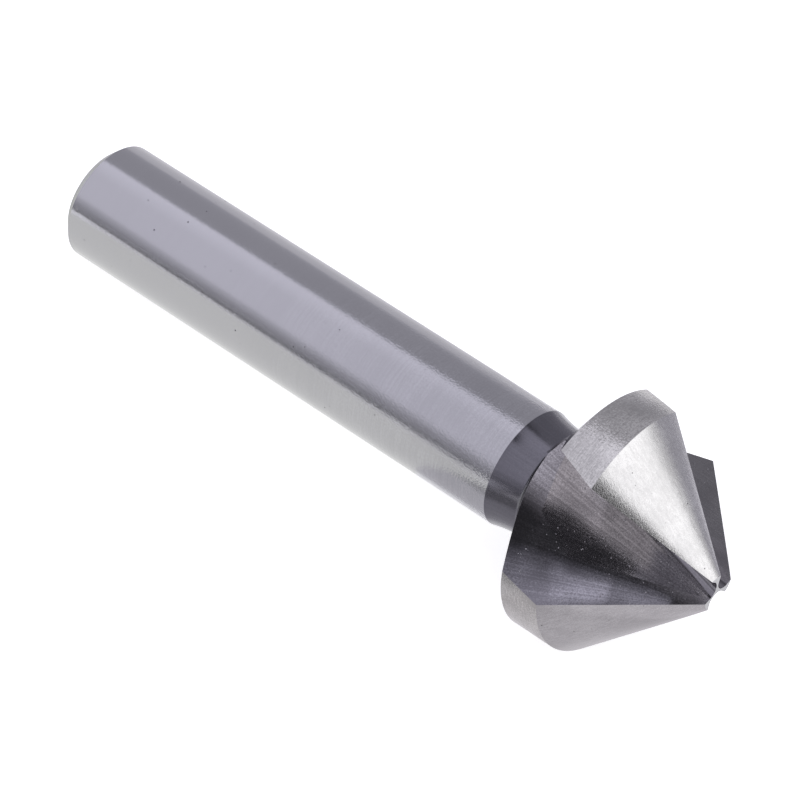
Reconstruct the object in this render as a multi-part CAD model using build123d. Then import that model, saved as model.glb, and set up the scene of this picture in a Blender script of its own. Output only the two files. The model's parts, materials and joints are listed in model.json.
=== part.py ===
from build123d import *
import os
from math import acos, atan2, cos, degrees, hypot, radians, sin, tan

# Three-flute 90 degree countersink bit in high-speed steel, ground from one bar.
# The tool is built upright on its own axis: Z is the axis, 0 is the end of the shank and the tip is
# at the top. At the end it is laid down on two teeth and the end of its shank, as it rests on a table.

# ---- sizes that drive the part (mm and degrees) ----
overall_length = 63.0        # end of the shank to the flat at the tip
tooth_count = 3

shank_diameter = 10.0
shank_chamfer = 0.8          # 45 degree chamfer round the free end

neck_length = 2.9            # dark unground part between shank and head
neck_diameter = 9.2          # where the head starts; the neck swells in one arc to the shank
neck_fillet = 0.4            # in the corner between neck and head

head_diameter = 20.5
band_length = 3.83           # cylindrical band, measured at the cutting corner
shoulder_angle = 60.0        # slope of the back of the head, measured from the axis
point_angle = 90.0
tip_diameter = 3.5

relief_drop = 0.4            # how far the cone of each tooth falls away from its edge to its heel
land_angle = 60.0            # turn from cutting corner to heel of one tooth

hook_angle = 11.2            # lean of the cutting face past the radius, seen along the axis
rake_skew = 17.1             # lean of the cutting face along the axis
rake_offset = 0.65           # how far the cutting face passes beside the axis at the tip
floor_lean = 22.8            # turn of the flute floor, seen along the axis
floor_offset = -0.09         # distance of the flute floor from the axis at the tip
floor_clearance = 0.05       # height of the flute floor over the neck where the head starts
root_radius = 0.8            # fillet in the bottom of the flute

# ---- radii and heights worked out from them ----
shank_radius = shank_diameter / 2
neck_radius = neck_diameter / 2
head_radius = head_diameter / 2
tip_radius = tip_diameter / 2

cone_slope = tan(radians(point_angle / 2))
z_tip = overall_length
z_corner = z_tip - (head_radius - tip_radius) / cone_slope
z_band = z_corner - band_length
z_shoulder = z_band - (head_radius - neck_radius) / tan(radians(shoulder_angle))
z_neck = z_shoulder - neck_length
tooth_pitch = 360.0 / tooth_count


def direction(turn):
    """Unit vector square to the axis at a turn in degrees."""
    return Vector(cos(radians(turn)), sin(radians(turn)), 0)


# ---- turned blank: half outline in the XZ plane, turned once round the axis ----
before_neck = Polyline(
    (0, 0, 0),
    (shank_radius - shank_chamfer, 0, 0),
    (shank_radius, 0, shank_chamfer),
    (shank_radius, 0, z_neck),
)
neck = TangentArc((neck_radius, 0, z_shoulder), (shank_radius, 0, z_neck), tangent=(0, 0, -1))
after_neck = Polyline(
    (neck_radius, 0, z_shoulder),
    (head_radius, 0, z_band),
    (head_radius, 0, z_corner),
    (tip_radius, 0, z_tip),
    (0, 0, z_tip),
    (0, 0, 0),
)
outline = make_face(before_neck + neck + after_neck)
neck_corner = outline.vertices().sort_by_distance((neck_radius, 0, z_shoulder))[0]
outline = fillet(neck_corner, neck_fillet)
blank = revolve(outline, Axis.Z)

# ---- one flute ----
# Two planes make it. The cutting face is  x = rake_offset - hook * y + skew * (z_tip - z).
# The floor lies at the distance  floor_offset + floor_rise * (z_tip - z)  from the axis, square to
# floor_normal; it comes out of the head level with the neck, so the neck is left whole.
hook = tan(radians(hook_angle))
skew = tan(radians(rake_skew))
floor_normal = direction(90 - floor_lean)
floor_rise = (neck_radius + floor_clearance - floor_offset) / (z_tip - z_shoulder)


def flute_root(z):
    """Point at height z where the cutting face and the flute floor would meet in a sharp corner."""
    beside = rake_offset + skew * (z_tip - z)
    distance = floor_offset + floor_rise * (z_tip - z)
    y = (distance - floor_normal.X * beside) / (floor_normal.Y - floor_normal.X * hook)
    return Vector(beside - hook * y, y, z)


rake_side = Vector(-1, -hook, -skew).normalized()
floor_side = (floor_normal + Vector(0, 0, floor_rise)).normalized()
flute_line = rake_side.cross(floor_side).normalized()
if flute_line.Z < 0:
    flute_line = flute_line * -1
up_the_face = rake_side.cross(flute_line).normalized()
if up_the_face.Y < 0:
    up_the_face = up_the_face * -1
flute_angle = 180 - degrees(acos(rake_side.dot(floor_side)))

flute_reach = 2 * head_diameter
wheel_plane = Plane(origin=flute_root(z_tip), x_dir=up_the_face, z_dir=flute_line)
wheel_corner = (0, 0)
wheel_face = (flute_reach, 0)
wheel_rim = (flute_reach * cos(radians(flute_angle)), flute_reach * sin(radians(flute_angle)))
wheel_outline = make_face(Polyline(wheel_corner, wheel_face, wheel_rim, close=True))
wheel_outline = fillet(wheel_outline.vertices().sort_by_distance((0, 0, 0))[0], root_radius)
flute = extrude(wheel_plane * wheel_outline, flute_reach, both=True)
z_run_out = z_shoulder - neck_fillet
flute &= Pos(0, 0, z_run_out) * Cylinder(
    head_diameter, flute_reach, align=(Align.CENTER, Align.CENTER, Align.MIN)
)

# ---- where the sharp corners of a tooth lie ----


def rake_turn(z):
    """Turn in degrees where the cutting face meets the band at height z."""
    # x + hook * y = beside, on the circle of the head radius
    beside = rake_offset + skew * (z_tip - z)
    reach = hypot(1, hook)
    return degrees(atan2(hook, 1) + acos(beside / (head_radius * reach)))


def floor_turn(z):
    """Turn in degrees where the flute floor meets the band at height z."""
    distance = floor_offset + floor_rise * (z_tip - z)
    return 90 - floor_lean + degrees(acos(distance / head_radius))


corner_turn = rake_turn(z_corner)

# ---- relief of one tooth: all that stands outside a cone moved a little off the axis ----
relief_turn = corner_turn + land_angle
relief_margin = 2.0
z_relief = z_corner - relief_margin
relief_shift = direction(relief_turn) * relief_drop
relief_base = head_radius + relief_margin * cone_slope - relief_drop / 2
relief_height = relief_base / cone_slope
relief_cone = Pos(relief_shift.X, relief_shift.Y, z_relief) * Cone(
    relief_base, 0, relief_height, align=(Align.CENTER, Align.CENTER, Align.MIN)
)
sector_start = corner_turn - tooth_pitch + (tooth_pitch - land_angle) / 2
sector = Pos(0, 0, z_relief) * Rot(0, 0, sector_start) * Cylinder(
    head_diameter, z_tip - z_relief + relief_margin, arc_size=tooth_pitch,
    align=(Align.NONE, Align.NONE, Align.MIN),
)
relief = sector - relief_cone

# ---- cut the teeth out of the blank ----
tool = blank
for tooth in range(tooth_count):
    tool -= Rot(0, 0, tooth * tooth_pitch) * relief
for tooth in range(tooth_count):
    tool -= Rot(0, 0, tooth * tooth_pitch) * flute

# ---- lay the tool down ----
# It touches the table at the front corner of one tooth, at the back corner of the heel of the next
# tooth and at the edge of the shank chamfer. A point at turn t, radius r and height z sinks to
# r * cos(t - down) - z * tan(tilt), and this is the same for all three.
front_turn = radians(corner_turn)
heel_turn = radians(floor_turn(z_band))
share = (z_corner - shank_chamfer) / (z_corner - z_band)
lever_x = head_radius * ((1 - share) * cos(front_turn) + share * cos(heel_turn))
lever_y = head_radius * ((1 - share) * sin(front_turn) + share * sin(heel_turn))
down_turn = atan2(lever_y, lever_x) - acos(shank_radius / hypot(lever_x, lever_y))
tilt = atan2(head_radius * cos(front_turn - down_turn) - shank_radius, z_corner - shank_chamfer)

up = Vector(-cos(tilt) * cos(down_turn), -cos(tilt) * sin(down_turn), sin(tilt))
forward = Vector(sin(tilt) * cos(down_turn), sin(tilt) * sin(down_turn), cos(tilt))
lying = Plane(origin=(0, 0, 0), x_dir=forward, z_dir=up).to_local_coords(tool)
box = lying.bounding_box()
countersink_bit = Pos(-box.center().X, -box.center().Y, -box.min.Z) * lying
countersink_bit.label = "countersink_bit"

os.makedirs("parts", exist_ok=True)
export_step(countersink_bit, "parts/countersink_bit.step")
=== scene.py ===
"""Countersink bit in high-speed steel, lying on a pale table under soft studio light.

The whole bit is one piece of steel. Its surface is worked out as patches on the exact cylinders, cones and
planes that a grinder makes, each patch with its own finish and its own map in millimetres.
"""
import json
import logging
from dataclasses import dataclass, field
from enum import Enum
from math import acos, atan2, cos, hypot, pi, radians, sin, tan

import bmesh
import bpy
import numpy as np
from mathutils import Matrix, Vector


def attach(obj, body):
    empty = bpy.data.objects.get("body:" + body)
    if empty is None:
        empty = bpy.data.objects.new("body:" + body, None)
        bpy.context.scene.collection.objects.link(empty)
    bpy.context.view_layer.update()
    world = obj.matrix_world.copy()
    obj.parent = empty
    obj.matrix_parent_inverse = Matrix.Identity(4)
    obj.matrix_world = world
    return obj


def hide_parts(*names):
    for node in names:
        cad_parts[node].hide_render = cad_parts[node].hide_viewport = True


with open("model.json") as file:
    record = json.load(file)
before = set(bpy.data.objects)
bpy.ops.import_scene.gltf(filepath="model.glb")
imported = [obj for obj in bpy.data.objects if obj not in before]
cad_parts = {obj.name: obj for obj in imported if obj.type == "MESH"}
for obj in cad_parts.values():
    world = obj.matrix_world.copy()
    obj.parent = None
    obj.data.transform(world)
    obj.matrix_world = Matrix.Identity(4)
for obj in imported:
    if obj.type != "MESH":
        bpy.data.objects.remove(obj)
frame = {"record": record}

LOG = logging.getLogger("countersink")
MM = 0.001
TINY = 1e-12
NODE = "countersink_bit"
Tree = bpy.types.NodeTree
Socket = bpy.types.NodeSocket


class Finish(Enum):
    """The finishes of the bit; the value is the material slot."""

    SHANK = 0
    CHAMFER = 1
    NECK = 2
    BAND = 3
    LAND = 4
    CUTTING_FACE = 5
    FLUTE_FLOOR = 6
    TIP = 7
    FLUTE_ROOT = 8


@dataclass(frozen=True)
class Patch:
    """A grid of points in tool coordinates, in millimetres, with a map in millimetres."""

    points: np.ndarray
    chart: np.ndarray
    finish: Finish


def grid_patch(points: np.ndarray, along: np.ndarray, across: np.ndarray, finish: Finish) -> Patch:
    """Make a patch from a grid and its two lengths.

    Args:
        points: Rows by columns by 3, in millimetres.
        along: First map coordinate, in millimetres.
        across: Second map coordinate, in millimetres.
        finish: What the surface is made like.

    Returns:
        The patch.
    """
    shape = points.shape[:2]
    chart = np.stack([np.broadcast_to(along, shape), np.broadcast_to(across, shape)], axis=-1)
    return Patch(points, chart, finish)


def turned(points: np.ndarray, turn: float) -> np.ndarray:
    """Points turned about the tool's axis: x and y by the rotation of that angle in radians."""
    c, s = cos(turn), sin(turn)
    return points @ np.array([[c, s, 0.0], [-s, c, 0.0], [0.0, 0.0, 1.0]])


def direction(turn: float) -> np.ndarray:
    """Unit vector square to the axis at a turn in radians."""
    return np.array([cos(turn), sin(turn)])


def unit(vector: np.ndarray) -> np.ndarray:
    """The vector at length 1."""
    return vector / np.linalg.norm(vector)


@dataclass(frozen=True)
class Blank:
    """The turned outline of the bit. Heights are from the end of the shank, all in millimetres."""

    shank_diameter: float = 10.0
    shank_chamfer: float = 0.8
    overall_length: float = 63.0
    neck_length: float = 2.9
    neck_diameter: float = 9.2
    neck_fillet: float = 0.4
    head_diameter: float = 20.5
    band_length: float = 3.83
    shoulder_angle: float = radians(60.0)
    half_point: float = radians(45.0)
    tip_diameter: float = 3.5

    @property
    def head(self) -> float:
        """Radius of the band."""
        return self.head_diameter / 2

    @property
    def z_corner(self) -> float:
        """Height of the cutting corner."""
        return self.overall_length - (self.head - self.tip_diameter / 2) / tan(self.half_point)

    @property
    def z_band(self) -> float:
        """Height where the band starts."""
        return self.z_corner - self.band_length

    @property
    def z_shoulder(self) -> float:
        """Height where the back of the head starts."""
        return self.z_band - (self.head - self.neck_diameter / 2) / tan(self.shoulder_angle)

    @property
    def z_neck(self) -> float:
        """Height where the ground shank stops."""
        return self.z_shoulder - self.neck_length

    def fillet_ends(self) -> tuple[float, float]:
        """Heights where the fillet between neck and head starts and ends.

        Returns:
            The lower and the upper height.
        """
        r, slope = self.neck_fillet, self.shoulder_angle
        low = r * (1 - cos(slope)) / sin(slope)
        return self.z_shoulder - low, self.z_shoulder - low + r * sin(slope)

    def radius(self, z: np.ndarray) -> np.ndarray:
        """Radius of the neck, its fillet and the back of the head.

        The neck is an arc that leaves the shank and runs parallel to the axis where the head starts. The
        fillet is an arc tangent to that direction and to the cone behind it.

        Args:
            z: Heights in millimetres.

        Returns:
            The radius at each height, in millimetres.
        """
        neck, drop = self.neck_diameter / 2, self.shank_diameter / 2 - self.neck_diameter / 2
        arc = (self.neck_length**2 + drop**2) / (2 * drop)
        low, high = self.fillet_ends()
        on_neck = neck + arc - np.sqrt(arc**2 - np.clip(self.z_shoulder - z, 0, self.neck_length) ** 2)
        dip = np.sqrt(np.clip(self.neck_fillet**2 - (z - low) ** 2, 0, None))
        on_fillet = neck + self.neck_fillet - dip
        on_cone = neck + (z - self.z_shoulder) * tan(self.shoulder_angle)
        return np.where(z <= low, on_neck, np.where(z <= high, on_fillet, np.minimum(on_cone, self.head)))


@dataclass
class Flute:
    """A straight V groove: a cutting face, a floor and the fillet between them, running along one line.

    Attributes:
        reach: How far the section is worked out to each side of the root, in millimetres.
        samples: Number of points in the section.
        arc_length: Arc length of each point, counted from the middle of the fillet.
        section: The groove's points in the plane at the height of the tip.
        slide: How far the section moves in x and y for each millimetre of height.
        stretch: Length along the groove for each millimetre of height.
        fillet: Half the arc length of the fillet.
    """

    blank: Blank
    hook_angle: float = radians(11.2)
    rake_skew: float = radians(17.1)
    rake_offset: float = 0.65
    floor_lean: float = radians(22.8)
    floor_offset: float = -0.09
    floor_clearance: float = 0.05
    root_radius: float = 0.8
    reach: float = 24.0
    samples: int = 4000
    arc_length: np.ndarray = field(init=False)
    section: np.ndarray = field(init=False)
    slide: np.ndarray = field(init=False)
    stretch: float = field(init=False)
    fillet: float = field(init=False)

    @property
    def out_turn(self) -> float:
        """Turn of the direction square to the floor, seen along the axis."""
        return pi / 2 - self.floor_lean

    @property
    def floor_rise(self) -> float:
        """How much farther from the axis the floor lies for each millimetre below the tip."""
        depth = self.blank.overall_length - self.blank.z_shoulder
        return (self.blank.neck_diameter / 2 + self.floor_clearance - self.floor_offset) / depth

    def __post_init__(self) -> None:
        """Work out the groove's section at the height of the tip, which slides unchanged along its line."""
        hook, skew, z_tip = tan(self.hook_angle), tan(self.rake_skew), self.blank.overall_length
        out = direction(self.out_turn)
        y = (self.floor_offset - out[0] * self.rake_offset) / (out[1] - out[0] * hook)
        root = np.array([self.rake_offset - hook * y, y, z_tip])
        rake = unit(np.array([-1.0, -hook, -skew]))
        floor = unit(np.array([out[0], out[1], self.floor_rise]))
        # the line points to the tip, the face away from the root and the bed to the heel
        line = unit(np.cross(rake, floor))
        line *= np.sign(line[2])
        face = unit(np.cross(rake, line))
        face *= np.sign(face[1])
        bed = unit(np.cross(line, floor))
        bed *= -np.sign(bed[0])
        opening = acos(float(face @ bed))
        turn_all = pi - opening
        s = np.linspace(-self.reach, self.reach, self.samples)
        half = self.root_radius * turn_all / 2
        # up to the fillet a straight face, then an arc of constant curvature, then the straight floor
        bow = np.clip(s / half, -1, 1) * turn_all / 2
        middle, side = unit(face + bed), unit(bed - face)
        centre = middle * self.root_radius / sin(opening / 2)
        arc = centre + self.root_radius * (np.outer(np.sin(bow), side) - np.outer(np.cos(bow), middle))
        over = np.clip(np.abs(s) - half, 0, None)[:, None]
        curve = root + arc + np.where(s[:, None] < 0, over * face, over * bed)
        slide = line / line[2]
        level = curve - np.outer(curve[:, 2] - z_tip, slide)
        self.arc_length, self.section, self.slide = s, level[:, :2], slide[:2]
        self.stretch, self.fillet = float(np.linalg.norm(slide)), half

    def at(self, s: np.ndarray, z: np.ndarray) -> np.ndarray:
        """Points of the groove: the section at arc length s, slid along the flute line to height z.

        Args:
            s: Arc lengths, counted from the middle of the fillet.
            z: Heights.

        Returns:
            The points, with x, y and z along the last axis.
        """
        height = np.asarray(z)[..., None]
        x = np.interp(s, self.arc_length, self.section[:, 0])
        y = np.interp(s, self.arc_length, self.section[:, 1])
        flat = np.stack([x, y], axis=-1) + (height - self.blank.overall_length) * self.slide
        return np.concatenate([flat, np.broadcast_to(height, flat.shape[:-1] + (1,))], axis=-1)

    def crossings(
        self, z: np.ndarray, radius: np.ndarray, centre: np.ndarray
    ) -> tuple[np.ndarray, np.ndarray]:
        """First and last arc length at which the groove is inside a circle.

        Args:
            z: Heights.
            radius: Radius of the circle at each height.
            centre: Centre of the circle.

        Returns:
            The two arc lengths for each height, and where the groove stays outside, the nearest point's.
        """
        points = self.at(self.arc_length[None, :], np.asarray(z)[:, None])[..., :2] - centre
        gap = np.linalg.norm(points, axis=-1) - radius[:, None]
        inside = gap < 0
        nearest = np.argmin(gap, axis=1)
        found = inside.any(axis=1)
        first = np.where(found, np.argmax(inside, axis=1), nearest)
        last = np.where(found, self.samples - 1 - np.argmax(inside[:, ::-1], axis=1), nearest)
        rows = np.arange(len(gap))

        def refine(index: np.ndarray, step: int) -> np.ndarray:
            """Arc length where the gap between two neighbouring samples is zero, on a straight line.

            Args:
                index: A sample for each height, the last one inside the circle.
                step: Which neighbour lies outside it, -1 or 1.

            Returns:
                The arc length for each height.
            """
            other = np.clip(index + step, 0, self.samples - 1)
            a, b = gap[rows, index], gap[rows, other]
            share = np.where(found & (np.abs(a - b) > TINY), a / np.where(a == b, 1, a - b), 0)
            return self.arc_length[index] + share * (self.arc_length[other] - self.arc_length[index])

        return refine(first, -1), refine(last, 1)


@dataclass(frozen=True)
class Head:
    """Three relieved teeth between three flutes.

    Attributes:
        row_crowding: Power that draws the rows of the shoulder together where the flute opens.
        heel_rounds: Rounds in which the height of the heel's corner settles.
        fan_margin: How far past the tip the floor's grinding lines would meet, in millimetres.
        fan_scale: Distance from there at which their spacing is true, in millimetres.
        cone_slant: Length along the cone for each millimetre of height, in the map.
        tooth_shift: How far the map moves from tooth to tooth, so that their patterns differ.
    """

    blank: Blank
    flute: Flute
    teeth: int = 3
    relief_drop: float = 0.4
    land_angle: float = radians(60.0)
    arc_columns: int = 26
    face_columns: int = 12
    fillet_columns: int = 16
    shoulder_rows: int = 44
    band_rows: int = 10
    cone_rows: int = 56
    row_crowding: float = 1.6
    heel_rounds: int = 8
    fan_margin: float = 1.0
    fan_scale: float = 10.0
    cone_slant: float = 1.4
    tooth_shift: tuple[float, float] = (37.0, 23.0)

    @property
    def pitch(self) -> float:
        """Turn from one tooth to the next."""
        return 2 * pi / self.teeth

    def corner_turn(self) -> float:
        """Turn of the cutting corner: the cutting face on the band's circle, at the corner's height.

        Returns:
            The turn in radians.
        """
        flute, blank = self.flute, self.blank
        hook = tan(flute.hook_angle)
        beside = flute.rake_offset + tan(flute.rake_skew) * (blank.overall_length - blank.z_corner)
        return atan2(hook, 1) + acos(beside / (blank.head * hypot(1, hook)))

    def floor_turn(self, z: float) -> float:
        """Turn where the flute floor meets the band at height z."""
        distance = self.flute.floor_offset + self.flute.floor_rise * (self.blank.overall_length - z)
        return self.flute.out_turn + acos(distance / self.blank.head)

    def relief_centre(self) -> np.ndarray:
        """Centre of the relieved cone of the first tooth."""
        return direction(self.corner_turn() + self.land_angle) * self.relief_drop

    def relief_radius(self, z: np.ndarray) -> np.ndarray:
        """Radius of the relieved cone at height z."""
        blank = self.blank
        return blank.head - self.relief_drop / 2 + (blank.z_corner - z) * tan(blank.half_point)

    def edge_height(self, turn: np.ndarray, centre: np.ndarray) -> np.ndarray:
        """Height where the relieved cone meets the band: where its radius is the distance to its centre.

        Args:
            turn: Turns about the axis, in radians.
            centre: Centre of the relieved cone.

        Returns:
            The height at each turn.
        """
        rim = self.blank.head * np.stack([np.cos(turn), np.sin(turn)], axis=-1)
        away = np.linalg.norm(rim - centre, axis=-1)
        gain = (self.blank.head - self.relief_drop / 2 - away) / tan(self.blank.half_point)
        return self.blank.z_corner + gain

    def cone_radius(self, turn: np.ndarray, z: np.ndarray, centre: np.ndarray) -> np.ndarray:
        """Distance from the tool's axis to the relieved cone in a direction, from the circle's equation.

        Args:
            turn: Turns about the axis, in radians.
            z: Heights.
            centre: Centre of the relieved cone.

        Returns:
            The distance at each turn and height.
        """
        toward = centre[0] * np.cos(turn) + centre[1] * np.sin(turn)
        beside = centre[0] * np.sin(turn) - centre[1] * np.cos(turn)
        return toward + np.sqrt(np.clip(self.relief_radius(z) ** 2 - beside**2, 0, None))

    def rows(self) -> tuple[np.ndarray, np.ndarray, np.ndarray]:
        """Shares of the way along the shoulder, the band and the cone, closer where the flute opens."""
        opening = np.linspace(0, 1, self.shoulder_rows + 1) ** self.row_crowding
        return opening, np.linspace(0, 1, self.band_rows + 1), np.linspace(0, 1, self.cone_rows + 1)

    def rim(self) -> dict[str, np.ndarray]:
        """Heights and arc lengths of the front and back edge of a tooth, row by row.

        Each edge is where the groove leaves the outer surface: a circle about the axis on the shoulder and
        the band, and the relieved circle on the cone.

        Returns:
            The heights as front_z and heel_z, and the arc lengths as front_s and heel_s.
        """
        blank, flute = self.blank, self.flute
        low, _ = blank.fillet_ends()
        opening, up_band, up_cone = self.rows()
        own = self.relief_centre()
        next_centre = turned(np.array([[*own, 0.0]]), self.pitch)[0, :2]
        z_front = float(self.edge_height(np.array(self.corner_turn()), own))
        z_heel = blank.z_corner
        for _ in range(self.heel_rounds):
            z_heel = float(self.edge_height(np.array(self.floor_turn(z_heel)), next_centre))
        shoulder = low + (blank.z_band - low) * opening
        result: dict[str, np.ndarray] = {}
        for name, top, centre, pick in (("front", z_front, own, 0), ("heel", z_heel, next_centre, 1)):
            band = blank.z_band + (top - blank.z_band) * up_band
            cone = top + (blank.overall_length - top) * up_cone
            parts = [
                flute.crossings(shoulder, blank.radius(shoulder), np.zeros(2))[pick],
                flute.crossings(band, np.full(len(band), blank.head), np.zeros(2))[pick],
                flute.crossings(cone, self.relief_radius(cone), centre)[pick],
            ]
            # neighbouring parts share their row, and the shared row is kept from the part above
            result[name + "_z"] = np.concatenate([shoulder[:-1], band[:-1], cone])
            result[name + "_s"] = np.concatenate([parts[0][:-1], parts[1][:-1], parts[2]])
        return result

    def groove_patches(self, rim: dict[str, np.ndarray]) -> list[Patch]:
        """Cutting face, fillet and floor: arc length between the two edges, height even between them.

        Args:
            rim: The two edges, as the method rim gives them.

        Returns:
            The three patches of one flute.
        """
        half = self.flute.fillet
        front, heel = rim["front_s"], rim["heel_s"]
        start, end = np.clip(-half, front, heel), np.clip(half, front, heel)
        spans = (
            (front, start, self.face_columns, Finish.CUTTING_FACE),
            (start, end, self.fillet_columns, Finish.FLUTE_ROOT),
            (end, heel, self.face_columns, Finish.FLUTE_FLOOR),
        )
        total = np.maximum(heel - front, TINY)
        apex = (end[-1] + heel[-1]) / 2
        patches = []
        for a, b, columns, finish in spans:
            share = np.linspace(0, 1, columns + 1)[None, :]
            s = a[:, None] + (b - a)[:, None] * share
            across = (s - front[:, None]) / total[:, None]
            z = rim["front_z"][:, None] + (rim["heel_z"] - rim["front_z"])[:, None] * across
            points = self.flute.at(s, z)
            along, beside = (self.blank.overall_length + self.fan_margin - z) * self.flute.stretch, s
            if a is end:
                # the floor's grinding lines fan out from the tip: distance from it, and turn about it
                along, beside = np.hypot(along, s - apex), self.fan_scale * np.arctan2(s - apex, along)
            patches.append(grid_patch(points, along, beside, finish))
        return patches

    def tooth_patches(self, rim: dict[str, np.ndarray]) -> list[Patch]:
        """Back of the head, band and relieved cone of the first tooth, from its heel to its cutting edge.

        A point lies at a turn between the two edges. Its radius is the turned outline's below the cone, and
        the relieved cone's above.

        Args:
            rim: The two edges, as the method rim gives them.

        Returns:
            The three patches of one tooth.
        """
        blank, centre = self.blank, self.relief_centre()
        front = self.flute.at(rim["front_s"], rim["front_z"])
        heel = turned(self.flute.at(rim["heel_s"], rim["heel_z"]), -self.pitch)
        a = np.unwrap(np.arctan2(heel[:, 1], heel[:, 0]))
        b = np.unwrap(np.arctan2(front[:, 1], front[:, 0]))
        a = a - 2 * pi * np.round((a[-1] - b[-1] + self.land_angle) / (2 * pi))
        share = np.linspace(0, 1, self.arc_columns + 1)[None, :]
        turn = a[:, None] + (b - a)[:, None] * share
        first, second = self.shoulder_rows, self.shoulder_rows + self.band_rows
        top = self.edge_height(turn[second], centre)
        top[0], top[-1] = heel[second, 2], front[second, 2]
        _, up_band, up_cone = self.rows()
        band_height = blank.z_band + (top - blank.z_band) * up_band[:, None]
        cone_height = top + (blank.overall_length - top) * up_cone[:, None]
        pieces = (
            (slice(0, first + 1), None, Finish.NECK),
            (slice(first, second + 1), band_height, Finish.BAND),
            (slice(second, None), cone_height, Finish.LAND),
        )
        patches = []
        for rows, height, finish in pieces:
            here = turn[rows]
            z = np.broadcast_to(front[rows, 2:3], here.shape) if height is None else height
            if finish is Finish.LAND:
                radius = self.cone_radius(here, z, centre)
            elif finish is Finish.BAND:
                radius = np.full(here.shape, blank.head)
            else:
                radius = blank.radius(z)
            points = np.stack([radius * np.cos(here), radius * np.sin(here), z], axis=-1)
            points[:, 0], points[:, -1] = heel[rows], front[rows]
            patches.append(grid_patch(points, z * self.cone_slant, radius * (here - here.mean()), finish))
        return patches

    def patches(self) -> list[Patch]:
        """All patches of the head: those of one tooth and one flute, turned round the axis.

        Returns:
            Six patches for each tooth.
        """
        rim = self.rim()
        single = self.groove_patches(rim) + self.tooth_patches(rim)
        return [
            Patch(turned(p.points, k * self.pitch), p.chart + k * np.array(self.tooth_shift), p.finish)
            for k in range(self.teeth)
            for p in single
        ]

    def circle_turns(self) -> np.ndarray:
        """Turns of the columns of the lowest row, so that the neck below can share its points."""
        single = self.flute.out_turn + np.linspace(-self.pitch, 0, self.arc_columns + 1)[:-1]
        return np.concatenate([single + k * self.pitch for k in range(self.teeth)] + [[single[0] + 2 * pi]])


@dataclass(frozen=True)
class Shank:
    """The ground cylinder with its chamfer and end, and the dark neck."""

    blank: Blank
    disc_rows: int = 4
    neck_rows: int = 18
    shank_rows: int = 40

    def ring(self, turns: np.ndarray, z: np.ndarray, radius: np.ndarray, finish: Finish) -> Patch:
        """A surface of revolution: radius and height row by row, turned round the axis.

        Args:
            turns: Turns of the columns, in radians.
            z: Height of each row.
            radius: Radius of each row.
            finish: What the surface is made like.

        Returns:
            The patch.
        """
        x, y = np.outer(radius, np.cos(turns)), np.outer(radius, np.sin(turns))
        points = np.stack([x, y, np.broadcast_to(z[:, None], x.shape)], axis=-1)
        return grid_patch(points, z[:, None], (self.blank.shank_diameter / 2) * turns[None, :], finish)

    def patches(self, turns: np.ndarray) -> list[Patch]:
        """End disc, chamfer, cylinder and neck, on the same turns as the head.

        Args:
            turns: Turns of the columns, in radians.

        Returns:
            The four patches.
        """
        blank = self.blank
        full, small = blank.shank_diameter / 2, blank.shank_diameter / 2 - blank.shank_chamfer
        low, _ = blank.fillet_ends()
        neck = np.linspace(blank.z_neck, low, self.neck_rows + 1)
        disc = np.linspace(0, small, self.disc_rows + 1)
        shank = np.linspace(blank.shank_chamfer, blank.z_neck, self.shank_rows + 1)
        return [
            self.ring(turns, np.zeros_like(disc), disc, Finish.CHAMFER),
            self.ring(turns, np.array([0, blank.shank_chamfer]), np.array([small, full]), Finish.CHAMFER),
            self.ring(turns, shank, np.full_like(shank, full), Finish.SHANK),
            self.ring(turns, neck, blank.radius(neck), Finish.NECK),
        ]


def srgb(code: str) -> tuple[float, float, float, float]:
    """Linear colour of an sRGB hex code such as "8c8a90"."""
    parts = [int(code[i : i + 2], 16) / 255 for i in (0, 2, 4)]
    return (*[c / 12.92 if c <= 0.04045 else ((c + 0.055) / 1.055) ** 2.4 for c in parts], 1.0)


def add_node(tree: Tree, kind: str, links: dict | None = None, **settings: object) -> bpy.types.Node:
    """Add a node with its settings and links.

    Args:
        tree: The node tree.
        kind: Node type.
        links: Input name or index to a value or an output socket.
        **settings: Attributes of the node.

    Returns:
        The new node.
    """
    node = tree.nodes.new(kind)
    for name, value in settings.items():
        setattr(node, name, value)
    for key, value in (links or {}).items():
        if isinstance(value, Socket):
            tree.links.new(value, node.inputs[key])
        else:
            node.inputs[key].default_value = value
    return node


def empty_tree(owner: bpy.types.Material | bpy.types.World) -> Tree:
    """Turn on the nodes of a material or a world and take out what is there.

    Args:
        owner: The material or the world.

    Returns:
        Its empty node tree.
    """
    owner.use_nodes = True
    owner.node_tree.nodes.clear()
    return owner.node_tree


def add_object(name: str, data: bpy.types.ID) -> bpy.types.Object:
    """Put a mesh or a camera in the scene at the origin.

    Args:
        name: Name of the object.
        data: The mesh or the camera.

    Returns:
        The new object.
    """
    thing = bpy.data.objects.new(name, data)
    bpy.context.scene.collection.objects.link(thing)
    return thing


def remap(tree: Tree, value: Socket, source: tuple[float, float], target: tuple[float, float]) -> Socket:
    """Carry a value from one range to another; what lies outside is held at the ends.

    Args:
        tree: The node tree.
        value: The value.
        source: The range it comes from.
        target: The range it goes to.

    Returns:
        The new value.
    """
    limits = {"From Min": source[0], "From Max": source[1], "To Min": target[0], "To Max": target[1]}
    return add_node(tree, "ShaderNodeMapRange", {"Value": value, **limits}).outputs[0]


def join(tree: Tree, first: Socket, second: Socket | float, operation: str = "MULTIPLY") -> Socket:
    """Join two values by one operation, such as MULTIPLY or MAXIMUM."""
    return add_node(tree, "ShaderNodeMath", {0: first, 1: second}, operation=operation).outputs[0]


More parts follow.
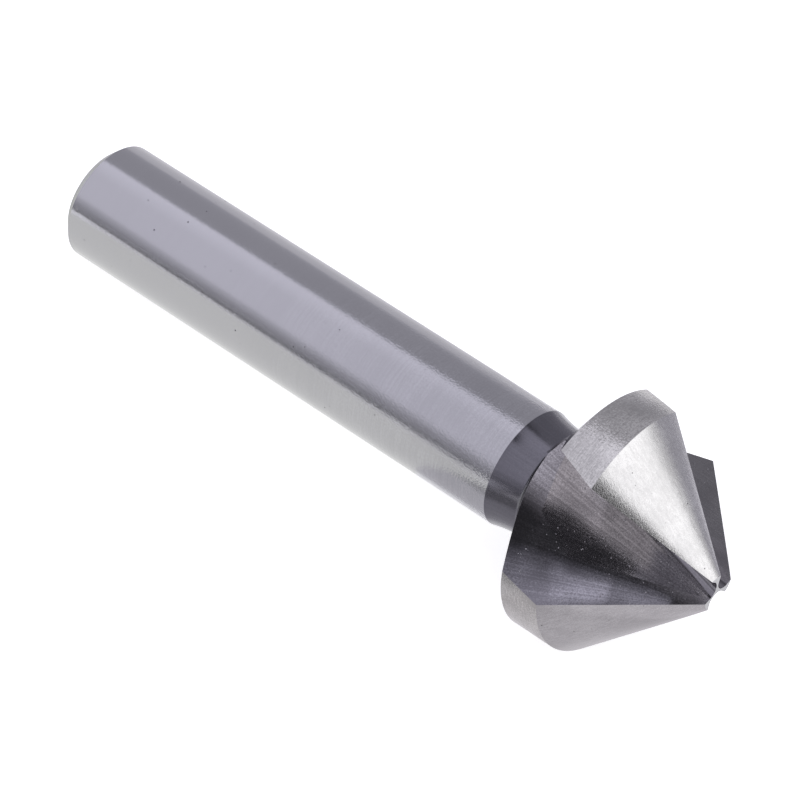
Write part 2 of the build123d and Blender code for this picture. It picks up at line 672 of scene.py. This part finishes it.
def noise(tree: Tree, place: Socket, size: float, detail: float, roughness: float) -> Socket:
    """Noise between 0 and 1 whose features have a size in the unit of the place, with finer layers."""
    shape = {"Vector": place, "Scale": 1 / size, "Detail": detail, "Roughness": roughness}
    return add_node(tree, "ShaderNodeTexNoise", shape).outputs["Fac"]


@dataclass(frozen=True)
class SteelFinish:
    """One finish of the high-speed steel. Lengths are in millimetres.

    Attributes:
        name: What it is.
        bright: Colour of the clean metal.
        dark: Colour in the speckle and the pits.
        roughness: Roughness of the clean metal.
        rough_swing: How much the roughness changes with the grain.
        line_spacing: Distance between grinding lines.
        line_length: Length of a grinding line.
        line_depth: Depth of the lines in the bump.
        grain: Size of the speckle.
        grain_depth: Depth of the speckle in the bump.
        speckle: Share of the dark colour in the speckle.
        pit_size: Radius of a dark pit.
        pit_spacing: Distance between pits.
        pit_dark: Share of the dark colour in a pit.
        pit_crowd: How much of the surface has no pits, from 0.4 for little to 0.5 for about half.
        rubbed_from: First map coordinate up to which the speckle is faint.
        rubbed_to: First map coordinate from which the speckle is full.
        rubbed_share: Share of the speckle that is left where it is faint.
        lines_along: Whether the lines run with the first map coordinate.
        cloud: Size of the clouds in which speckle and pits gather.
        cloud_edge: Range of the clouds over which pits set in.
        speckled: Range of the mixed pattern over which the speckle goes from full to none.
        grain_range: Range of the grain over which the roughness changes.
        pit_roughness: Roughness of a pit.
        line_strength: Share of the bump of the lines that is used.
    """

    name: str
    bright: str
    dark: str
    roughness: float
    rough_swing: float = 0.06
    line_spacing: float = 0.12
    line_length: float = 6.0
    line_depth: float = 0.002
    grain: float = 0.12
    grain_depth: float = 0.0006
    speckle: float = 0.25
    pit_size: float = 0.09
    pit_spacing: float = 3.5
    pit_dark: float = 0.6
    pit_crowd: float = 0.47
    rubbed_from: float = -2.0
    rubbed_to: float = -1.0
    rubbed_share: float = 0.15
    lines_along: bool = True
    cloud: float = 4.0
    cloud_edge: float = 0.08
    speckled: tuple[float, float] = (0.06, 0.2)
    grain_range: tuple[float, float] = (0.3, 0.7)
    pit_roughness: float = 0.5
    line_strength: float = 0.5

    def material(self) -> bpy.types.Material:
        """Build the material: stretched noise for the lines, fine noise for the speckle, cells for pits.

        Returns:
            The material.
        """
        material = bpy.data.materials.new(self.name)
        tree = empty_tree(material)
        chart = add_node(tree, "ShaderNodeUVMap", uv_map="chart").outputs["UV"]
        place = add_node(tree, "ShaderNodeTexCoord").outputs["Object"]
        fine, long = 1 / self.line_spacing, 1 / self.line_length
        stretch = (long, fine, 1.0) if self.lines_along else (fine, long, 1.0)
        lay = add_node(tree, "ShaderNodeMapping", {"Vector": chart, "Scale": stretch}).outputs[0]
        lines = noise(tree, lay, 1.0, 3.0, 0.6)
        grain = noise(tree, place, self.grain * MM, 1.5, 0.6)
        cloud = noise(tree, place, self.cloud * MM, 2.0, 0.5)
        mixed = join(tree, lines, grain)
        # the speckle wears off where the metal is handled and gripped
        run = add_node(tree, "ShaderNodeSeparateXYZ", {0: chart}).outputs["X"]
        rubbed = remap(tree, run, (self.rubbed_from, self.rubbed_to), (self.rubbed_share, 1.0))
        cloudy = join(tree, mixed, cloud)
        share = join(tree, remap(tree, cloudy, self.speckled, (self.speckle, 0.0)), rubbed)
        # a pit is a spot round the middle of a cell, and pits come in clusters
        grid = {"Vector": place, "Scale": 1 / (self.pit_spacing * MM)}
        cells = add_node(tree, "ShaderNodeTexVoronoi", grid).outputs["Distance"]
        radius = self.pit_size / self.pit_spacing
        crowd = remap(tree, cloud, (self.pit_crowd, self.pit_crowd + self.cloud_edge), (0.0, 1.0))
        near = join(tree, remap(tree, cells, (radius / 2, radius), (1.0, 0.0)), crowd)
        worn = join(tree, share, join(tree, near, self.pit_dark), "MAXIMUM")
        tones = {"Factor": worn, 6: srgb(self.bright), 7: srgb(self.dark)}
        colour = add_node(tree, "ShaderNodeMix", tones, data_type="RGBA").outputs[2]
        # a pit is rougher than the metal round it: dark in a light reflection and light in a dark one
        swing = (self.roughness - self.rough_swing / 2, self.roughness + self.rough_swing / 2)
        rough = remap(tree, grain, self.grain_range, swing)
        rough = join(tree, rough, join(tree, near, self.pit_roughness), "MAXIMUM")
        lined = add_node(
            tree, "ShaderNodeBump",
            {"Height": mixed, "Strength": self.line_strength, "Distance": self.line_depth * MM},
        ).outputs[0]
        frosted = add_node(
            tree, "ShaderNodeBump",
            {"Height": join(tree, grain, rubbed), "Strength": 1.0, "Distance": self.grain_depth * MM,
             "Normal": lined},
        ).outputs[0]
        shader = add_node(
            tree, "ShaderNodeBsdfPrincipled",
            {"Base Color": colour, "Metallic": 1.0, "Roughness": rough, "Normal": frosted},
        )
        add_node(tree, "ShaderNodeOutputMaterial", {"Surface": shader.outputs[0]})
        return material


# real grinding marks are a few hundredths of a millimetre apart; the lines, the speckle and the pits here
# are coarser, so that they show at the size of a picture
FINISHES: dict[Finish, SteelFinish] = {
    # ground and handled: nearly a mirror, so the softboxes' edges show as crisp bands; duller by the neck
    Finish.SHANK: SteelFinish(
        "ground_steel_shank", "aeaeb1", "66656a", 0.16, rough_swing=0.08, line_depth=0.0002,
        lines_along=False, grain=0.16, grain_depth=0.02, speckle=0.2, pit_size=0.11, pit_spacing=1.3,
        pit_dark=0.9, rubbed_from=15.0, rubbed_to=44.0,
    ),
    # turned and not ground: a matt, even grey
    Finish.CHAMFER: SteelFinish(
        "turned_steel_chamfer", "989a9a", "606060", 0.34, speckle=0.7, grain_depth=0.004,
    ),
    # left as hardened: dark, a little blue, with a soft sheen
    Finish.NECK: SteelFinish("hardened_steel_neck", "6d6c72", "403f45", 0.2, line_depth=0.0008, speckle=0.3),
    # ground with a coarse wheel: light, with a grain that breaks the reflections up
    Finish.BAND: SteelFinish(
        "ground_steel_band", "cac9c6", "646363", 0.2, grain=0.16, grain_depth=0.02, speckle=0.5,
        line_depth=0.0004, line_length=1.5, lines_along=False,
    ),
    # relief ground: satin, with short faint lines and a few dark pits
    Finish.LAND: SteelFinish(
        "ground_steel_land", "bbbabb", "666466", 0.2, grain=0.12, grain_depth=0.005, speckle=0.3,
        line_depth=0.0001, line_spacing=0.3, line_length=0.7, pit_spacing=0.9, pit_dark=0.9,
    ),
    # ground fine: a mirror with a few specks of dust
    Finish.CUTTING_FACE: SteelFinish(
        "ground_steel_cutting_face", "c0bec0", "605f64", 0.06, rough_swing=0.02, line_depth=0.0003,
        grain_depth=0.0001, speckle=0.3, pit_size=0.06, pit_spacing=0.7,
    ),
    # ground fine by the wheel's edge: a mirror with light specks and long lines that fan out from the tip
    Finish.FLUTE_FLOOR: SteelFinish(
        "ground_steel_flute", "cac8cb", "504e52", 0.05, rough_swing=0.02, line_spacing=0.16,
        line_length=30.0, line_depth=0.0004, grain_depth=0.0001, speckle=0.65, pit_size=0.07,
        pit_spacing=0.42, pit_dark=0.1, pit_crowd=0.38,
    ),
    # the small web left at the tip: plain dull metal
    Finish.TIP: SteelFinish("ground_steel_tip", "b0b0b0", "808080", 0.35, speckle=0.3),
    # the flute's rounded bottom, where the wheel wears: less smooth than the floor; its darker colour is
    # painted shade in the crease
    Finish.FLUTE_ROOT: SteelFinish(
        "ground_steel_flute_root_painted_shade", "88868a", "403f42", 0.15, line_depth=0.0005, speckle=0.4,
    ),
}


@dataclass(frozen=True)
class Bit:
    """The whole bit: its patches in tool coordinates, laid down on two teeth and the end of its shank.

    Attributes:
        edge_radius: Rounding of the sharp edges, in millimetres.
        weld: Distance below which points of neighbouring patches are one, in millimetres.
        sliver: Length below which an edge is taken out, in millimetres.
        rounded_from: Bend past which an edge is rounded.
        creased_from: Bend past which an edge shows as a crease if it isn't rounded.
        web_corners: The tip's web has more corners than this; the slivers where a flute opens don't.
    """

    blank: Blank = field(default_factory=Blank)
    edge_radius: float = 0.03
    weld: float = 0.002
    sliver: float = 0.0005
    rounded_from: float = radians(24)
    creased_from: float = radians(12)
    web_corners: int = 4

    def lie(self, head: Head) -> Matrix:
        """Rotation from tool coordinates to the table.

        The bit touches the table at the front corner of one tooth, the back corner of the next heel and the
        edge of the shank's chamfer. A point at turn t, radius r and height z sinks to
        r cos(t - down) - z tan(tilt), which is the same for all three.

        Args:
            head: The head, which knows where its corners lie.

        Returns:
            The rotation.
        """
        blank = self.blank
        front, heel = head.corner_turn(), head.floor_turn(blank.z_band)
        share = (blank.z_corner - blank.shank_chamfer) / (blank.z_corner - blank.z_band)
        lever = blank.head * ((1 - share) * direction(front) + share * direction(heel))
        shank = blank.shank_diameter / 2
        down = atan2(lever[1], lever[0]) - acos(shank / hypot(*lever))
        tilt = atan2(blank.head * cos(front - down) - shank, blank.z_corner - blank.shank_chamfer)
        up = Vector((-cos(tilt) * cos(down), -cos(tilt) * sin(down), sin(tilt)))
        forward = Vector((sin(tilt) * cos(down), sin(tilt) * sin(down), cos(tilt)))
        return Matrix((forward, up.cross(forward), up))

    def shift(self, turn: np.ndarray) -> np.ndarray:
        """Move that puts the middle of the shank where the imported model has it, in millimetres."""
        shank_middle = np.array([0, 0, (self.blank.shank_chamfer + self.blank.z_neck) / 2])
        return np.array(frame["record"]["mounts"][0]["pos_m"]) / MM - turn @ shank_middle

    def mesh(self, patches: list[Patch], turn: np.ndarray) -> bpy.types.Mesh:
        """Join the patches in one mesh, where the bit lies.

        Args:
            patches: The patches in tool coordinates.
            turn: Rotation from tool coordinates to the table.

        Returns:
            The mesh, with its map and its finishes.
        """
        shift = self.shift(turn)
        vertices, faces, charts, slots = [], [], [], []
        start = 0
        for patch in patches:
            rows, columns = patch.points.shape[:2]
            index = start + np.arange(rows * columns).reshape(rows, columns)
            corners = [index[:-1, :-1], index[:-1, 1:], index[1:, 1:], index[1:, :-1]]
            quads = np.stack(corners, axis=-1).reshape(-1, 4)
            vertices.append(patch.points.reshape(-1, 3) @ turn.T + shift)
            charts.append(patch.chart.reshape(-1, 2))
            faces.append(quads)
            slots.append(np.full(len(quads), patch.finish.value))
            start += rows * columns
        quads, chart = np.concatenate(faces), np.concatenate(charts)
        mesh = bpy.data.meshes.new("countersink_steel")
        mesh.from_pydata(np.concatenate(vertices) * MM, [], quads)
        layer = mesh.uv_layers.new(name="chart")
        layer.data.foreach_set("uv", chart[quads.reshape(-1)].astype(np.float32).reshape(-1))
        mesh.polygons.foreach_set("material_index", np.concatenate(slots).astype(np.int32))
        mesh.update()
        for finish in Finish:
            mesh.materials.append(FINISHES[finish].material())
        return mesh

    def build(self) -> bpy.types.Object:
        """Build the bit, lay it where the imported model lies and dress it.

        Returns:
            The finished piece.
        """
        head = Head(self.blank, Flute(self.blank))
        patches = head.patches() + Shank(self.blank).patches(head.circle_turns())
        mesh = self.mesh(patches, np.array(self.lie(head)))
        self.close(mesh)
        piece = add_object("countersink_steel", mesh)
        bevel = piece.modifiers.new("edge_rounding", "BEVEL")
        bevel.width = self.edge_radius * MM
        bevel.segments = 2
        bevel.limit_method = "WEIGHT"
        bevel.harden_normals = True
        bevel.use_clamp_overlap = True
        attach(piece, "root")
        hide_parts(NODE)
        return piece

    def close(self, mesh: bpy.types.Mesh) -> None:
        """Merge the patches, cap the tip, point the faces outwards and weight the edges to be rounded.

        Args:
            mesh: The mesh, which is changed.
        """
        work = bmesh.new()
        work.from_mesh(mesh)
        bmesh.ops.remove_doubles(work, verts=work.verts, dist=self.weld * MM)
        bmesh.ops.dissolve_degenerate(work, edges=work.edges, dist=self.sliver * MM)
        open_edges = [edge for edge in work.edges if edge.is_boundary]
        caps = bmesh.ops.contextual_create(work, geom=open_edges)["faces"]
        for cap in caps:
            finish = Finish.TIP if len(cap.verts) > self.web_corners else Finish.FLUTE_FLOOR
            cap.material_index = finish.value
        bmesh.ops.recalc_face_normals(work, faces=work.faces)
        weights = work.edges.layers.float.new("bevel_weight_edge")
        for edge in work.edges:
            if len(edge.link_faces) == 2:
                bend = edge.calc_face_angle(0)
                edge[weights] = 1.0 if bend > self.rounded_from else 0.0
                edge.smooth = not self.creased_from < bend <= self.rounded_from
        for face in work.faces:
            face.smooth = True
        volume = work.calc_volume() / MM**3
        LOG.info("open edges %d, caps %d, volume %.1f mm3", len(open_edges), len(caps), volume)
        work.to_mesh(mesh)
        work.free()


@dataclass(frozen=True)
class Panel:
    """A flat light or a card, all in metres. The camera doesn't see it, but reflections do.

    Attributes:
        name: Name of the panel.
        corners: Its corners in order.
        radiance: Brightness of its face.
        colour: sRGB hex of its light.
        lights_room: Whether it lights the table and casts shadows too, or only shapes reflections.
        fades_to: Brightness along the second half of its corners; the first half has the radiance.
    """

    name: str
    corners: tuple[tuple[float, float, float], ...]
    radiance: float
    colour: str = "ffffff"
    lights_room: bool = True
    fades_to: float | None = None

    def build(self) -> None:
        """Add the panel. It shines by itself, so that its tone doesn't depend on the other lights."""
        mesh = bpy.data.meshes.new(self.name)
        count = len(self.corners)
        faces = [tuple(range(count))]
        if self.fades_to is not None:
            faces = [(i, i + 1, count - 2 - i, count - 1 - i) for i in range(count // 2 - 1)]
        mesh.from_pydata(self.corners, [], faces)
        material = bpy.data.materials.new(self.name)
        tree = empty_tree(material)
        strength = self.radiance
        if self.fades_to is not None:
            glow_at = mesh.attributes.new("glow", "FLOAT", "POINT")
            levels = np.repeat([self.radiance, self.fades_to], count // 2)
            glow_at.data.foreach_set("value", levels.astype(np.float32))
            strength = add_node(tree, "ShaderNodeAttribute", attribute_name="glow").outputs["Fac"]
        glow = add_node(tree, "ShaderNodeEmission", {"Color": srgb(self.colour), "Strength": strength})
        add_node(tree, "ShaderNodeOutputMaterial", {"Surface": glow.outputs[0]})
        mesh.materials.append(material)
        panel = add_object(self.name, mesh)
        panel.visible_camera = False
        panel.visible_diffuse = panel.visible_shadow = self.lights_room


Spot = tuple[float, float]


def upright(start: Spot, end: Spot, low: float, high: float) -> tuple[tuple[float, float, float], ...]:
    """Corners of an upright panel in metres: where its two sides stand, and its lowest and highest height."""
    return ((*start, low), (*end, low), (*end, high), (*start, high))


def card(
    name: str, height: float, radiance: float, colour: str, *corners: Spot, fades_to: float | None = None
) -> Panel:
    """Make a level card that only shapes reflections; its height is in metres, its corners in millimetres."""
    places = tuple((x * MM, y * MM, height) for x, y in corners)
    return Panel(name, places, radiance, colour, False, fades_to)


def box(x: Spot, y: Spot) -> tuple[Spot, ...]:
    """Corners of a rectangle from its range in x and its range in y."""
    return (x[0], y[0]), (x[1], y[0]), (x[1], y[1]), (x[0], y[1])


@dataclass(frozen=True)
class Studio:
    """Table, lights and camera. Lengths are in metres, but lens and sensor in millimetres.

    The azimuth is the turn of the camera's look from the y axis, the elevation its angle above the table
    and the roll its turn about that look. The clip is the nearest and farthest distance that it shows. The
    table's tone is its reflectance and its glow the brightness of its own light. Tints are sRGB hex codes.
    """

    position: tuple[float, float, float] = (0.136463, -0.206731, 0.245250)
    azimuth: float = radians(33.3215)
    elevation: float = radians(44.014)
    roll: float = radians(11.6043)
    lens: float = 199.8
    sensor: float = 36.0
    clip: tuple[float, float] = (0.01, 20.0)
    table_side: float = 4.0
    table_tone: float = 0.8
    table_roughness: float = 0.8
    table_glow: float = 0.67
    room_tint: str = "f1effb"
    softbox_tint: str = "f1effc"
    softbox_height: float = 0.26
    flag_height: float = 0.06
    flag_gap: float = 0.001
    card_height: float = 0.0002

    def camera(self) -> None:
        """Add the camera, turned from level by its roll."""
        flat, rise = cos(self.elevation), sin(self.elevation)
        look = Vector((-sin(self.azimuth) * flat, cos(self.azimuth) * flat, -rise))
        level = look.cross(Vector((0, 0, 1))).normalized()
        right = level * cos(self.roll) + level.cross(look) * sin(self.roll)
        data = bpy.data.cameras.new("camera")
        data.lens, data.sensor_width = self.lens, self.sensor
        data.clip_start, data.clip_end = self.clip
        camera = add_object("camera", data)
        turn = Matrix((right, right.cross(look), -look)).transposed()
        camera.matrix_world = Matrix.Translation(self.position) @ turn.to_4x4()
        bpy.context.scene.camera = camera

    def table(self) -> None:
        """Add the pale table, which also glows a little, as a light table does."""
        half = self.table_side / 2
        mesh = bpy.data.meshes.new("table")
        mesh.from_pydata([(x, y, 0) for x, y in box((-half, half), (-half, half))], [], [(0, 1, 2, 3)])
        # matt white acrylic, lit from below: no reflections, and paler than the light on it alone makes it
        material = bpy.data.materials.new("white_acrylic_table")
        material.use_nodes = True
        shader = material.node_tree.nodes["Principled BSDF"]
        shader.inputs["Base Color"].default_value = (self.table_tone,) * 3 + (1,)
        shader.inputs["Roughness"].default_value = self.table_roughness
        shader.inputs["Emission Color"].default_value = (1, 1, 1, 1)
        shader.inputs["Emission Strength"].default_value = self.table_glow
        mesh.materials.append(material)
        table = add_object("table", mesh)

    def room(self) -> None:
        """Add the room's own light.

        It is darker low down in front and even behind. The ceiling above the softboxes is dark, and so is
        the wall at the shank's end.
        """
        world = bpy.data.worlds.new("studio")
        bpy.context.scene.world = world
        tree = empty_tree(world)
        where = add_node(tree, "ShaderNodeTexCoord")
        x, y, z = add_node(tree, "ShaderNodeSeparateXYZ", {0: where.outputs["Generated"]}).outputs
        front = remap(tree, z, (0.0, 0.35), (0.43, 1.05))
        back = remap(tree, z, (0.0, 0.4), (0.66, 0.6))
        side = remap(tree, y, (-0.15, 0.15), (0.0, 1.0))
        around = add_node(tree, "ShaderNodeMix", {"Factor": side, 2: front, 3: back}, data_type="FLOAT")
        ceiling = remap(tree, z, (0.84, 0.96), (1.0, 0.02))
        wall = remap(tree, x, (-0.84, -0.66), (0.35, 1.0))
        level = join(tree, around.outputs[0], join(tree, ceiling, wall))
        sky = add_node(tree, "ShaderNodeBackground", {"Color": srgb(self.room_tint), "Strength": level})
        add_node(tree, "ShaderNodeOutputWorld", {"Surface": sky.outputs[0]})

    def overhead(self) -> list[Panel]:
        """Softboxes over the shank and the head, which meet over the neck; the first has a brighter hem.

        Returns:
            The softboxes.
        """
        h, tint = self.softbox_height, self.softbox_tint
        seam, hem_start = (0.01, -0.07, h), (-0.37, -0.07, h)
        return [
            Panel("softbox_over_shank", (hem_start, (-0.60, -0.70, h), (0.01, -0.70, h), seam), 1.12, tint),
            Panel(
                "softbox_hem", (hem_start, seam, (0.01, 0.08, h), (-0.33, 0.08, h)), 1.12, tint,
                fades_to=1.36,
            ),
            Panel(
                "softbox_over_head",
                ((0.01, -0.02, h), (0.01, -0.70, h), (0.30, -0.70, h), (0.30, 0.13, h)), 1.0, tint,
            ),
        ]

    def beyond_tip(self) -> list[Panel]:
        """The key light, with a dimmer skirt on one side and a dark card on the other.

        Returns:
            The three panels.
        """
        near_side, far_side = (0.532, 0.022), (0.341, 0.394)
        return [
            Panel("key", upright(near_side, far_side, 0.2, 0.48), 2.15),
            Panel(
                "skirt_of_key",
                ((*far_side, 0.16), (0.29, 0.424, 0.12), (0.29, 0.424, 0.48), (*far_side, 0.48)), 1.2,
            ),
            Panel(
                "card_beside_key", upright((0.533, 0.017), (0.416, -0.32), 0.1, 0.5), 0.12,
                lights_room=False,
            ),
        ]

    def behind(self) -> list[Panel]:
        """Low cards behind the bit, standing and lying, which show along its far side.

        Returns:
            The cards.
        """
        low, y, tint = self.card_height, 0.06, "f4f2fa"
        return [
            Panel("card_behind_shank", upright((-0.20, y), (-0.02, y), 0.0, 0.023), 0.88, tint, False),
            Panel("card_behind_tip", upright((0.038, y), (0.075, y), 0.004, 0.0165), 1.3, tint, False),
            card("shade_far_behind", low, 0.86, "f6f2fa", (-160, 150), (60, 150), (60, 400), (-260, 400)),
            card("shade_behind_shank", low, 0.86, "faf8ff", *box((-120, 0), (12, 100))),
        ]

    def in_front(self) -> list[Panel]:
        """Cards on the table in front of the bit, which show in the flute and on the neck.

        Returns:
            The cards.
        """
        low, cool, warm = self.card_height, "f4f2ff", "faf6fa"
        return [
            card(
                "front_card_near", low, 0.10, cool,
                (-500, -58), (-28, -58), (-10, -62.5), (-2, -60.3), (1, -55.4), (11.9, -45.4),
                (11.9, -48.5), (8.6, -56), (6.8, -61.5), (2, -68), (-5, -75), (-20, -110), (-500, -110),
            ),
            card(
                "front_card_by_tip", low, 0.45, cool,
                (11.9, -45.4), (13.5, -43.8), (13.5, -34), (60, -34), (60, -45.5), (12.0, -48.0),
            ),
            card(
                "front_card_before_tip", low, 0.9, cool,
                (12.0, -48.0), (60, -45.5), (60, -70), (16, -58), (12, -53),
            ),
            card(
                "bright_card_for_root", low, 1.5, warm,
                (-6, -60.8), (-2, -59.8), (1, -55), (6, -50.6), (6, -46), (-6, -46),
            ),
            card(
                "card_beside_root", low, 0.82, warm,
                (6, -50.6), (9.9, -46.8), (13.5, -43.8), (13.5, -38), (6, -38),
            ),
            card(
                "front_card_for_neck", low, 0.7, cool,
                (2, -68.5), (8, -75), (20, -110), (-20, -110), (-5, -75.5),
            ),
            card("front_card_far", low, 0.42, cool, (-500, -110), (-20, -110), (60, -600), (-500, -600)),
        ]

    def under(self) -> list[Panel]:
        """Cards on the table under the bit, for the tones that its low sides mirror.

        Returns:
            The cards.
        """
        low = self.card_height
        return [
            card("shade_under_shank", low, 1.11, "fbfbfa", *box((-45, 4), (-44, 8))),
            card("shade_under_neck", low, 0.46, "faf8ff", (4, -36), (17, -33), (17, -16), (4, -16)),
            card("light_shade_under_neck", low, 0.84, "faf8ff", *box((4, 17), (-16, -4))),
            card("shade_under_band", low, 0.86, "faf6fc", *box((17, 21), (-22, 4))),
            card("shade_under_head", low, 0.78, "faf6fc", *box((21, 31), (-22, 4))),
            card("light_under_tip", low, 0.94, "faf6fc", *box((31, 45), (-22, 4))),
        ]

    def over_flute(self) -> list[Panel]:
        """Cards over the upper flute, under a dark flag; neighbours share an edge.

        Returns:
            The cards and their flag.
        """
        high, tint, cool = self.flag_height, "f6f2ff", "eeecff"
        mouth = ((10, 0.8), (45, 4.8))
        inner = ((10, -1), (16.1, -2.4), (19.6, -2.0), (45, 4))
        outer = ((10, -4), (17.0, -4.9), (20.8, -4.6), (45, 1.4))
        heel_start = ((19.5, -8.3), (21.0, -7.3), (23.3, -6.2), (26.0, -4.9), (28.7, -3.6))
        heel_peak = ((24.2, -13.0), (25.6, -9.8), (26.95, -6.75), (29.4, -5.0))
        heel_end = ((25.6, -13.6), (26.6, -10.9), (27.85, -8.1), (29.9, -6.0))
        tip_start = ((28.7, -3.6), (31.3, -2.05), (33.5, -1.2))
        tip_peak = ((29.3, -4.8), (32.0, -3.2), (33.8, -1.9))
        tip_end = ((29.9, -6.2), (32.4, -4.2), (34.0, -2.3))
        return [
            card("flag_for_flute", high + self.flag_gap, 0.06, "f4f2ff", *box((10, 45), (-16, 10))),
            card("card_for_flute_mouth", high, 0.8, tint, *mouth, (45, 9), (10, 9)),
            card("card_for_flute", high, 0.66, tint, *inner, *mouth[::-1]),
            card("graded_card_for_flute", high, 0.62, tint, *inner, *outer[::-1], fades_to=0.05),
            card(
                "graded_card_by_heel", high, 0.06, cool, *heel_start, *heel_peak[::-1], (21.5, -16.0),
                fades_to=0.86,
            ),
            card("cool_card_by_heel", high, 0.86, cool, *heel_peak, *heel_end[::-1], fades_to=0.42),
            card("graded_card_by_tip", high, 0.06, cool, *tip_start, *tip_peak[::-1], fades_to=0.5),
            card("cool_card_by_tip", high, 0.5, cool, *tip_peak, *tip_end[::-1], fades_to=0.3),
        ]

    def build(self) -> None:
        """Add everything and set how the picture is shown."""
        self.camera()
        self.table()
        self.room()
        lights = self.overhead() + self.beyond_tip()
        cards = self.behind() + self.in_front() + self.under() + self.over_flute()
        for panel in lights + cards:
            panel.build()
        view = bpy.context.scene.view_settings
        view.view_transform, view.look = "Standard", "None"


def main() -> None:
    """Build the bit and the studio."""
    logging.basicConfig(level=logging.INFO, format="%(name)s: %(message)s")
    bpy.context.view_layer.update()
    piece = Bit().build()
    LOG.info("built %s with %d faces", piece.name, len(piece.data.polygons))
    Studio().build()


if __name__ == "__main__":
    main()
